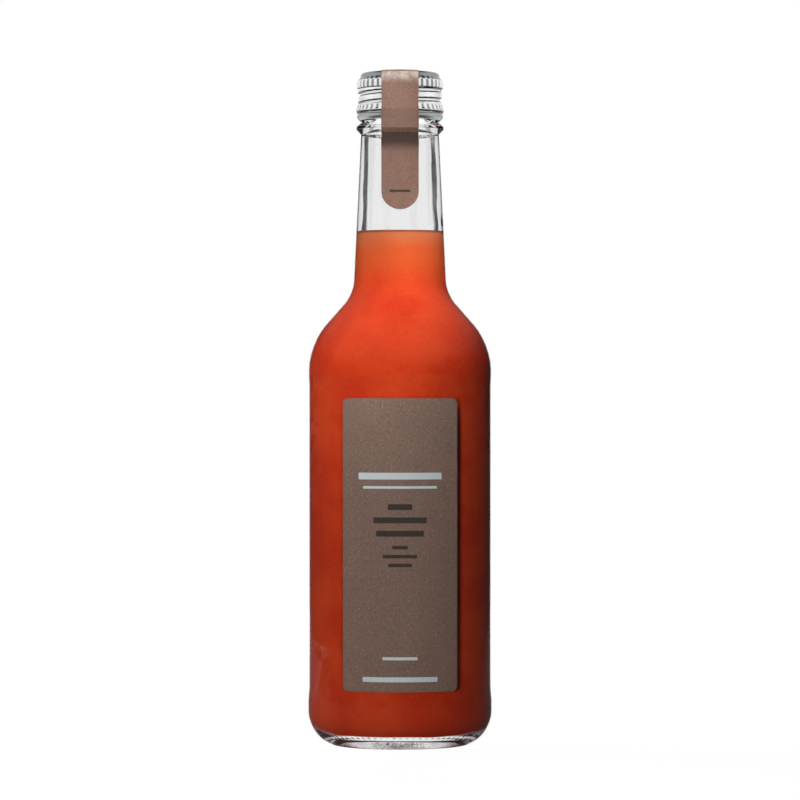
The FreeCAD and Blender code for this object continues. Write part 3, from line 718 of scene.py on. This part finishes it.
def capMaterial():
    material, tree, surface = newMaterial("rolledAluminium")
    place, along = placeInMm(tree, -1500, 0)
    square = calc(tree, -1000, 200, "ADD", calc(tree, -1100, 300, "POWER", along["X"], 2.0),
                  calc(tree, -1100, 100, "POWER", along["Y"], 2.0))
    fromAxis = calc(tree, -900, 200, "SQRT", square)
    ringed = addNode(tree, "ShaderNodeCombineXYZ", -750, 100)  # lines run round the cap
    tree.links.new(fromAxis, ringed.inputs["X"])
    tree.links.new(along["Z"], ringed.inputs["Z"])
    lines = noise(tree, -500, 200, ringed.outputs[0], 1 / capLook["lineSize"], 3.0, 0.6)
    cloud = placeGroup(tree, softPatches, -500, -100, Place=place, Size=5.0, Low=0.0, High=1.0)
    colour = blendColour(tree, 0, 100, ease(tree, -200, 200, lines, 0.35, 0.65, 0.0, 0.5),
                         capLook["bright"], capLook["dull"])
    colour = blendColour(tree, 200, 100, calc(tree, 0, -100, "MULTIPLY", cloud.outputs[0], 0.25), colour,
                         capLook["dull"])
    # Darker between the ribs, on the thread's flanks and in the slits, where little light gets in.
    height = along["Z"]
    turned = calc(tree, -400, 500, "ARCTAN2", along["Y"], along["X"])
    ribbed = calc(tree, -200, 500, "COSINE", calc(tree, -300, 500, "MULTIPLY", turned, cap["ribs"]))
    trough = ease(tree, -100, 500, ribbed, 0.1, -0.6)
    inKnurl = bandMask(tree, 0, 500, height, cap["knurlFoot"] + 0.1, cap["knurlTop"] - 0.1, 0.25)
    inBead = bandMask(tree, 0, 650, height, cap["bridgeFoot"] + 0.4, cap["bridgeTop"] - 0.5, 0.2)
    ribs = calc(tree, 150, 550, "MAXIMUM", calc(tree, 100, 500, "MULTIPLY", inKnurl, capLook["inKnurl"]),
                calc(tree, 100, 650, "MULTIPLY", inBead, capLook["inBead"]))
    ribs = calc(tree, 200, 600, "MULTIPLY", trough, ribs)
    skirt = cap["skirtRadius"]
    flank = bandMask(tree, 0, 800, fromAxis, skirt - 0.46, skirt - 0.035, 0.03)
    onSkirt = bandMask(tree, 0, 950, height, cap["skirtFoot"], cap["skirtTop"] + 0.1, 0.1)
    flank = calc(tree, 100, 800, "MULTIPLY", flank, onSkirt)
    underKnurl = bandMask(tree, 0, 1100, height, cap["skirtTop"] + 0.02, cap["knurlFoot"] - 0.05, 0.08)
    underBead = bandMask(tree, 0, 1250, height, cap["bridgeFoot"] - 0.3, cap["bridgeFoot"] + 0.05, 0.08)
    slits = calc(tree, 100, 1200, "MAXIMUM", underKnurl, underBead)
    shaded = calc(tree, 200, 900, "MULTIPLY", calc(tree, 150, 900, "MAXIMUM", flank, slits),
                  capLook["inSlits"])
    shaded = calc(tree, 250, 600, "MAXIMUM", ribs, shaded, clamp=True)
    colour = blendColour(tree, 350, 300, shaded, colour, capLook["shade"])
    # Painted darker reflection on the plain wall over the ribs and on the tamper band.
    overRibs = ease(tree, 100, 700, height, cap["knurlTop"] + 0.1, cap["knurlTop"] + 0.4, 0.0,
                    capLook["onRim"])
    onWall = ease(tree, 100, 900, height, cap["top"] - 0.05, cap["top"] - 0.2)
    onBand = ease(tree, 100, 1100, height, cap["bridgeFoot"] - 0.1, cap["bridgeFoot"] - 0.3, 0.0,
                  capLook["onBand"])
    paintedDarkReflection = calc(tree, 400, 700, "MAXIMUM", calc(tree, 300, 700, "MULTIPLY", overRibs, onWall), onBand)
    colour = blendColour(tree, 500, 300, paintedDarkReflection, colour, capLook["rim"])
    tree.links.new(colour, surface.inputs["Base Color"])
    surface.inputs["Metallic"].default_value = 1.0
    rough = ease(tree, 0, -250, lines, 0.3, 0.7, 0.08, 0.17)
    tree.links.new(rough, surface.inputs["Roughness"])
    tree.links.new(bump(tree, 200, -400, lines, capLook["lineDepth"]), surface.inputs["Normal"])
    # Light that has gone round inside the bottle's mouth leaves through the cap's wall, or the glass
    # under the cap would stay black.
    skirtWall = skirt - cap["wall"] - cap["grooveDepth"]
    bandWall = cap["bandRadius"] - cap["wall"]
    inside = ease(tree, 200, -500, fromAxis, skirtWall + 0.18, skirtWall + 0.12)
    inside = calc(tree, 400, -500, "MULTIPLY", inside,
                  ease(tree, 200, -650, height, cap["top"] - 0.1, cap["top"] - 0.2))
    inBand = ease(tree, 200, -800, fromAxis, bandWall + 0.15, bandWall + 0.05)
    inBand = calc(tree, 400, -700, "MULTIPLY", inBand,
                  bandMask(tree, 200, -950, height, cap["bandFoot"] - 0.3, cap["bridgeFoot"], 0.1))
    shape = addNode(tree, "ShaderNodeNewGeometry", 200, -1100)
    inside = calc(tree, 500, -600, "MAXIMUM", calc(tree, 450, -600, "MAXIMUM", inside, inBand),
                  shape.outputs["Backfacing"])
    path = addNode(tree, "ShaderNodeLightPath", 400, -900)
    roundGlass = calc(tree, 500, -900, "MAXIMUM", path.outputs["Is Transmission Ray"],
                      path.outputs["Is Singular Ray"])
    leaves = calc(tree, 600, -600, "MULTIPLY", inside, roundGlass)
    clear = addNode(tree, "ShaderNodeBsdfTransparent", 600, -800)
    showShader(tree, mixShaders(tree, 800, -300, leaves, surface, clear))
    return material


labelPrint = {
    "paper": (0.268, 0.168, 0.127, 1), "fleck": (0.43, 0.31, 0.25, 1), "cloud": (0.240, 0.152, 0.117, 1),
    "paleInk": (0.80, 0.88, 0.89, 1), "darkInk": (0.028, 0.018, 0.012, 1),
    # bars as middle height, half width and half height
    "paleBars": [(89.2, 13.9, 1.1), (85.55, 12.2, 0.42), (30.2, 5.7, 0.5), (23.4, 12.45, 0.8)],
    "darkBars": [(79.2, 4.0, 0.95), (74.9, 8.75, 0.95), (70.6, 7.8, 0.95),
                 (66.1, 2.55, 0.55), (63.2, 5.55, 0.55), (60.35, 3.8, 0.55)],
}


paperLook = {"fleckSize": 0.42, "relief": 0.02 * mm}


def paperSurface(tree, surface, place, look, colourAfter):
    paper = placeGroup(tree, fleckedPaper, -300, 200, Place=place, Paper=look["paper"],
                       Fleck=look["fleck"], Cloud=look["cloud"], FleckSize=paperLook["fleckSize"])
    tree.links.new(colourAfter(paper.outputs["Color"]), surface.inputs["Base Color"])
    tree.links.new(paper.outputs["Roughness"], surface.inputs["Roughness"])
    relief = bump(tree, 200, -300, paper.outputs["Height"], paperLook["relief"])
    tree.links.new(relief, surface.inputs["Normal"])


def labelMaterial():
    material, tree, surface = newMaterial("brownLabelPaper")
    place, along = placeInMm(tree, -1500, 0)
    toFront = calc(tree, -1050, 150, "MULTIPLY", along["Y"], -1.0)
    turned = calc(tree, -900, 150, "ARCTAN2", along["X"], toFront)
    across = calc(tree, -750, 150, "MULTIPLY", turned, glass["bodyRadius"])

    def printInk(colour, bars, ink, shift):
        mask = None
        for number, (height, halfWidth, halfHeight) in enumerate(bars):
            bar = placeGroup(tree, printedBar, -600, shift - 200 * number, Across=across,
                             Up=along["Z"], Middle=0.0, Height=height, HalfWidth=halfWidth,
                             HalfHeight=halfHeight)
            mask = bar.outputs[0] if mask is None else calc(
                tree, -400, shift - 200 * number, "MAXIMUM", mask, bar.outputs[0])
        return blendColour(tree, 0, shift, mask, colour, ink)

    def printAll(colour):
        colour = printInk(colour, labelPrint["paleBars"], labelPrint["paleInk"], 900)
        return printInk(colour, labelPrint["darkBars"], labelPrint["darkInk"], -600)

    paperSurface(tree, surface, place, labelPrint, printAll)
    return material


stripPrint = {
    "paper": (0.290, 0.168, 0.120, 1), "fleck": (0.40, 0.265, 0.20, 1), "cloud": (0.245, 0.139, 0.100, 1),
    "fold": (0.88, 0.75, 0.68, 1), "tuck": (0.03, 0.012, 0.008, 1), "darkInk": (0.03, 0.02, 0.014, 1),
    "mark": (182.3, 3.4, 0.4),  # middle height, half width, half height
    # heights between which a tone comes in or goes out
    "foldFrom": (217.4, 220.4), "foldTo": (222.0, 221.3), "foldShare": 0.85,
    "tuckFrom": (195.0, 198.9), "tuckTo": (201.9, 201.5), "tuckShare": 0.9,
    "underBead": (210.0, 208.8), "underShare": 0.25,
}


def stripMaterial():
    material, tree, surface = newMaterial("brownStripPaper")
    place, along = placeInMm(tree, -1500, 0)
    up = along["Z"]

    def wearAndMark(colour):
        # Painted highlight where it bends over the rim, stronger in patches.
        patches = placeGroup(tree, softPatches, -700, 600, Place=place, Size=2.2, Low=0.35, High=1.0)
        foldHighlight = calc(tree, -300, 600, "MULTIPLY", ease(tree, -500, 700, up, *stripPrint["foldFrom"]),
                      ease(tree, -500, 500, up, *stripPrint["foldTo"]))
        foldHighlight = calc(tree, -150, 600, "MULTIPLY", foldHighlight, patches.outputs[0])
        foldHighlight = calc(tree, -50, 700, "MULTIPLY", foldHighlight, stripPrint["foldShare"])
        colour = blendColour(tree, 0, 500, foldHighlight, colour, stripPrint["fold"])
        # Painted shade where it tucks in under the glass ring, and a little painted shade below the ribbed
        # bead.
        tucked = calc(tree, 0, 900, "MULTIPLY", ease(tree, -200, 900, up, *stripPrint["tuckFrom"]),
                      ease(tree, -200, 1050, up, *stripPrint["tuckTo"]))
        tucked = calc(tree, 50, 1000, "MULTIPLY", tucked, stripPrint["tuckShare"])
        colour = blendColour(tree, 100, 900, tucked, colour, stripPrint["tuck"])
        below = ease(tree, -200, 1200, up, *stripPrint["underBead"], 0.0, stripPrint["underShare"])
        colour = blendColour(tree, 150, 1100, below, colour, stripPrint["tuck"])
        height, halfWidth, halfHeight = stripPrint["mark"]
        mark = placeGroup(tree, printedBar, -500, 300, Across=along["X"], Up=up, Middle=0.0,
                          Height=height, HalfWidth=halfWidth, HalfHeight=halfHeight)
        front = ease(tree, -300, 300, along["Y"], 0.0, -1.0)
        return blendColour(tree, 200, 300, calc(tree, 0, 250, "MULTIPLY", mark.outputs[0], front), colour,
                           stripPrint["darkInk"])

    paperSurface(tree, surface, place, stripPrint, wearAndMark)
    return material


dress(bottlePiece, glassMaterial())
dress(juicePiece, juiceMaterial())
dress(capPiece, capMaterial())
dress(labelPiece, labelMaterial())
dress(stripPiece, stripMaterial())
print("materials placed")


stage = {
    "floorColour": (0.25, 0.25, 0.25, 1), "floorSize": 12, "floorDrop": 0.05 * mm,
    "nearGlow": 0.96, "farGlow": 1.0, "glowFrom": (0.15, 0.6),
    "onMetalNear": 0.08, "onMetal": 0.85, "metalFrom": (0.15, 0.35), "metalTo": (0.8, 1.6), "metalFar": 0.3,
    "onGlass": 0.03,
}


# The floor looks white to the eye and through glass. Metal mirrors it bright except near the bottle,
# and glass mirrors it dim. The ranges are distances from the bottle in metres.
def makeFloor():
    deselectAll()
    bpy.ops.mesh.primitive_plane_add(size=stage["floorSize"], location=(0, 0, -stage["floorDrop"]))
    floor = bpy.context.object
    floor.name = floor.data.name = "floor"
    material, tree, surface = newMaterial("palePaperFloor")
    tree.nodes.remove(surface)
    matt = addNode(tree, "ShaderNodeBsdfDiffuse", 300, 100)
    matt.inputs["Color"].default_value = stage["floorColour"]
    path = addNode(tree, "ShaderNodeLightPath", 0, 300)
    spot = addNode(tree, "ShaderNodeTexCoord", -600, 0)
    away = addNode(tree, "ShaderNodeVectorMath", -400, 0, operation="LENGTH")
    tree.links.new(spot.outputs["Object"], away.inputs[0])
    direct = calc(tree, 200, 300, "ADD", path.outputs["Is Camera Ray"], path.outputs["Is Transmission Ray"],
                  clamp=True)
    distance = away.outputs["Value"]
    onMetal = ease(tree, -200, 600, distance, *stage["metalFrom"], stage["onMetalNear"], stage["onMetal"])
    farther = ease(tree, -200, 800, distance, *stage["metalTo"], 1.0, stage["metalFar"])
    onMetal = calc(tree, 0, 700, "MULTIPLY", onMetal, farther)
    onGlass = calc(tree, 0, 500, "MULTIPLY", path.outputs["Is Singular Ray"],
                   calc(tree, -200, 400, "SUBTRACT", stage["onGlass"], onMetal))
    mirrored = calc(tree, 200, 500, "MULTIPLY", path.outputs["Is Glossy Ray"],
                    calc(tree, 100, 600, "ADD", onMetal, onGlass))
    seen = calc(tree, 300, 300, "MAXIMUM", direct, mirrored)
    glow = addNode(tree, "ShaderNodeEmission", 500, 200)
    level = ease(tree, 100, 0, distance, *stage["glowFrom"], stage["nearGlow"], stage["farGlow"])
    tree.links.new(calc(tree, 400, 200, "MULTIPLY", seen, level), glow.inputs["Strength"])
    both = addNode(tree, "ShaderNodeAddShader", 800, 0)
    tree.links.new(matt.outputs[0], both.inputs[0])
    tree.links.new(glow.outputs[0], both.inputs[1])
    showShader(tree, both)
    dress(floor, material)


studio = {
    "fill": 0.03,
    "throughBright": 0.85, "throughDim": 0.05, "panelEdge": (-0.82, -0.5),
    "throughOver": 0.4, "overFrom": (0.1, 0.3),
    "onGlass": 0.03, "onGlassOver": 0.15, "glassFrom": (0.15, 0.5),
    "onMetal": 0.92, "metalSwing": 0.12, "ring": 0.95, "ringFrom": (0.2, 0.36),
    "overhead": 0.12, "overheadFrom": (0.62, 0.8),
}


# Rays through glass meet four soft white panels round the bottle with dim gaps between them, so clear
# glass keeps its dark edges. Metal meets a nearly even bright room under a dim ceiling, and glass
# mirrors little of it. Diffuse light comes from a plain even fill. The ranges are heights of a ray's
# direction, and panelEdge holds the cosines where a gap ends and a panel is at its brightest.
def makeWorld():
    world = bpy.data.worlds.new("studio")
    bpy.context.scene.world = world
    world.use_nodes = True
    tree = world.node_tree
    back = tree.nodes["Background"]
    back.location = (1100, 0)
    tree.nodes["World Output"].location = (1300, 0)
    way = addNode(tree, "ShaderNodeTexCoord", -1300, 0)
    split = addNode(tree, "ShaderNodeSeparateXYZ", -1100, 0)
    tree.links.new(way.outputs["Generated"], split.inputs[0])
    turned = calc(tree, -900, 100, "ARCTAN2", split.outputs["Y"], split.outputs["X"])
    fourfold = calc(tree, -600, 100, "COSINE", calc(tree, -750, 100, "MULTIPLY", turned, 4.0))
    up = split.outputs["Z"]
    through = ease(tree, -400, 100, fourfold, *studio["panelEdge"], studio["throughDim"],
                   studio["throughBright"])
    over = ease(tree, -400, 250, up, *studio["overFrom"], 0.0, studio["throughOver"])
    through = calc(tree, -200, 100, "MAXIMUM", through, over)
    metal = calc(tree, -400, -100, "MULTIPLY_ADD", fourfold, studio["metalSwing"], studio["onMetal"])
    upper = ease(tree, -400, -450, up, *studio["overheadFrom"], studio["ring"], studio["overhead"])
    lifted = ease(tree, -400, -300, up, *studio["ringFrom"])
    rise = calc(tree, -200, -200, "SUBTRACT", upper, metal)
    metal = calc(tree, 0, -200, "MULTIPLY_ADD", rise, lifted, metal)
    onGlass = ease(tree, -400, 400, up, *studio["glassFrom"], studio["onGlass"], studio["onGlassOver"])
    path = addNode(tree, "ShaderNodeLightPath", -400, 600)
    level = studio["fill"]
    for step, (kind, seen) in enumerate((("Is Glossy Ray", metal), ("Is Singular Ray", onGlass),
                                         ("Is Transmission Ray", through), ("Is Camera Ray", 1.0))):
        mixed = addNode(tree, "ShaderNodeMix", 200 + 200 * step, 200)
        feed(tree, mixed.inputs[0], path.outputs[kind])
        feed(tree, mixed.inputs[2], level)
        feed(tree, mixed.inputs[3], seen)
        level = mixed.outputs[0]
    back.inputs["Color"].default_value = (1, 1, 1, 1)
    tree.links.new(level, back.inputs["Strength"])


# Softboxes as (name, place, what it faces, size, spread in degrees, watts).
softboxes = [
    ("leftBack", (-0.55, 0.25, 0.25), (0, 0, 0.12), (0.3, 0.4), 180, 0.93),
    ("leftFront", (-0.55, -0.50, 0.10), (0, 0, 0.08), (0.2, 0.15), 180, 0.54),
    ("frontLow", (-0.10, -0.75, 0.06), (0, 0, 0.05), (0.2, 0.1), 60, 0.19),
    ("shoulderFront", (-0.05, -0.40, 0.42), (0, 0, 0.140), (0.05, 0.05), 14, 0.0088),
    ("shoulderLeft", (-0.18, -0.25, 0.45), (0, 0, 0.135), (0.05, 0.05), 14, 0.007),
    ("rightSpot", (0.40, -0.20, 0.42), (0, 0, 0.164), (0.04, 0.04), 9, 0.0055),
    ("capSpot", (-0.15, -0.50, 0.40), (0, 0, 0.215), (0.04, 0.04), 8, 0.005),
    ("backSoft", (0, 0.75, 0.30), (0, 0, 0.12), (0.5, 0.5), 180, 1.7),
]


def makeLamps():
    for name, place, target, size, spread, watts in softboxes:
        deselectAll()
        aim = (Vector(target) - Vector(place)).to_track_quat("-Z", "Y")
        bpy.ops.object.light_add(type="AREA", location=place, rotation=aim.to_euler())
        lamp = bpy.context.object
        lamp.name = lamp.data.name = name
        lamp.data.shape = "RECTANGLE"
        lamp.data.size, lamp.data.size_y = size
        lamp.data.energy = watts
        lamp.data.spread = math.radians(spread)
        lamp.visible_glossy = lamp.visible_transmission = False  # glass and metal show the panels instead


frontView = {"distance": 1.2, "height": 0.1138, "lens": 163, "clipEnd": 50}


def makeCamera():
    deselectAll()
    bpy.ops.object.camera_add(location=(0, -frontView["distance"], frontView["height"]),
                              rotation=(math.radians(90), 0, 0))
    camera = bpy.context.object
    camera.data.lens = frontView["lens"]
    camera.data.clip_end = frontView["clipEnd"]
    bpy.context.scene.camera = camera


makeFloor()
makeWorld()
makeLamps()
makeCamera()
bpy.context.scene.view_settings.view_transform = "Standard"
print("stage set")
